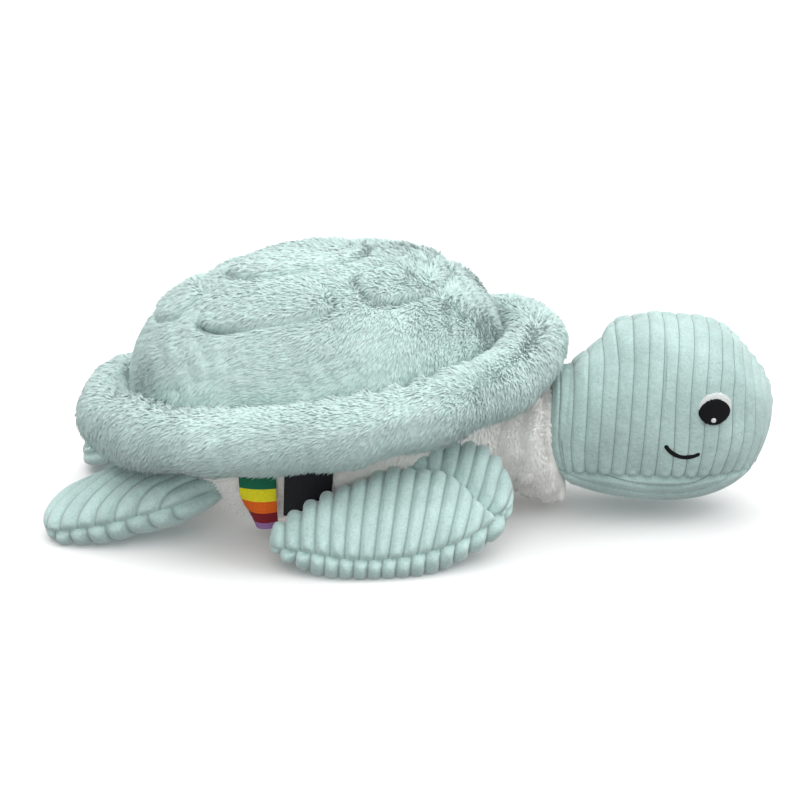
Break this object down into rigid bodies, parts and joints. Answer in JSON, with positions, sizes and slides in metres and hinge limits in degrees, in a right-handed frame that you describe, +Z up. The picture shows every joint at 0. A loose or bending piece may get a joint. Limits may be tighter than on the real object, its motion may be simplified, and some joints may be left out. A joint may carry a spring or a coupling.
{
  "type": "plush turtle",
  "caption": "Stuffed sea turtle lying on its belly, with a quilted plush shell and rim, white neck and belly, corded velour head and paddle flippers that swing.",
  "frame": {"origin": "middle of the footprint on the surface that the turtle lies on", "axes": "+X towards the head, +Y towards the turtle's left side, +Z up"},
  "size_m": [0.3892, 0.2416, 0.1449],
  "materials": {
    "mint_plush": "matte",
    "mint_velour": "matte",
    "white_plush": "matte",
    "filling": "matte",
    "black_thread": "matte",
    "white_thread": "matte",
    "black_cloth": "matte",
    "striped_cloth": "matte"
  },
  "bodies": {
    "torso": {"shell_dome_cover": "mint_plush", "shell_rim_cover": "mint_plush", "shell_rim_stuffing": "filling", "belly_cover": "white_plush", "body_stuffing": "filling", "striped_label": "striped_cloth", "black_label": "black_cloth"},
    "neck": {"neck_cover": "white_plush", "neck_stuffing": "filling"},
    "head": {"head_side_right": "mint_velour", "head_side_left": "mint_velour", "head_chin_gusset": "mint_velour", "head_stuffing": "filling", "eye_white_right": "white_thread", "eye_pupil_right": "black_thread", "eye_glint_right": "white_thread", "smile_stitch_right": "black_thread", "eye_white_left": "white_thread", "eye_pupil_left": "black_thread", "eye_glint_left": "white_thread", "smile_stitch_left": "black_thread"},
    "front_flipper_right": {"front_flipper_right_top": "mint_velour", "front_flipper_right_underside": "mint_velour", "front_flipper_right_stuffing": "filling"},
    "front_flipper_left": {"front_flipper_left_top": "mint_velour", "front_flipper_left_underside": "mint_velour", "front_flipper_left_stuffing": "filling"},
    "rear_flipper_right": {"rear_flipper_right_top": "mint_velour", "rear_flipper_right_underside": "mint_velour", "rear_flipper_right_stuffing": "filling"},
    "rear_flipper_left": {"rear_flipper_left_top": "mint_velour", "rear_flipper_left_underside": "mint_velour", "rear_flipper_left_stuffing": "filling"}
  },
  "joints": [
    {"name": "neck_nod", "type": "hinge", "parent": "torso", "child": "neck", "pos_m": [0.04766, 0, 0.042], "axis": [0, -1, 0], "range_deg": [-5, 7], "stiffness_Nm_per_rad": 3, "springref_deg": 1.72},
    {"name": "head_turn", "type": "hinge", "parent": "neck", "child": "head", "pos_m": [0.08166, 0, 0.042], "axis": [0, 0, 1], "range_deg": [-12, 12], "stiffness_Nm_per_rad": 1},
    {"name": "front_flipper_right_sweep", "type": "hinge", "parent": "torso", "child": "front_flipper_right", "pos_m": [0.02766, -0.056, 0.04], "axis": [0, 0, 1], "range_deg": [0, 55], "stiffness_Nm_per_rad": 0.3},
    {"name": "front_flipper_left_sweep", "type": "hinge", "parent": "torso", "child": "front_flipper_left", "pos_m": [0.02766, 0.056, 0.04], "axis": [0, 0, -1], "range_deg": [0, 55], "stiffness_Nm_per_rad": 0.3},
    {"name": "rear_flipper_right_sweep", "type": "hinge", "parent": "torso", "child": "rear_flipper_right", "pos_m": [-0.10834, -0.05, 0.034], "axis": [0, 0, 1], "range_deg": [-10, 25], "stiffness_Nm_per_rad": 0.3},
    {"name": "rear_flipper_left_sweep", "type": "hinge", "parent": "torso", "child": "rear_flipper_left", "pos_m": [-0.10834, 0.05, 0.034], "axis": [0, 0, -1], "range_deg": [-10, 25], "stiffness_Nm_per_rad": 0.3}
  ]
}
